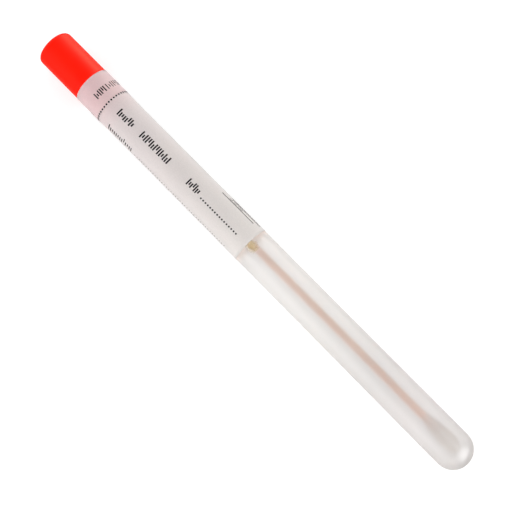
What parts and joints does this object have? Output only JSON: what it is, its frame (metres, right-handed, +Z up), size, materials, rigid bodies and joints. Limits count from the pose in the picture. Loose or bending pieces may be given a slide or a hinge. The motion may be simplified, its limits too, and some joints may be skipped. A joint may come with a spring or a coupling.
{
  "type": "specimen swab tube",
  "caption": "Dry specimen swab: translucent round-bottomed tube with a red plug cap, wooden stick, cotton bud and a wrapped paper label with a tear line.",
  "frame": {"origin": "on the supporting surface, under the middle of the part as it lies on its side", "axes": "+X along the tube towards its round bottom, +Z up, the cap at -X"},
  "size_m": [0.1774, 0.0124, 0.0124],
  "materials": {
    "tube_plastic": "natural translucent polypropylene, moulded",
    "cap_plastic": "satin red polyethylene, moulded",
    "label_paper": "white uncoated paper with black print",
    "stick_wood": "plain birch",
    "cotton": "wound cotton fibre"
  },
  "bodies": {
    "tube_body": {"tube": "tube_plastic", "label": "label_paper"},
    "swab_body": {"cap": "cap_plastic", "label_seal": "label_paper", "swab_stick": "stick_wood", "cotton_bud": "cotton"}
  },
  "joints": [
    {"name": "swab_draw", "type": "slide", "parent": "tube_body", "child": "swab_body", "axis": [-1, 0, 0], "range_m": [0, 0.155]}
  ]
}
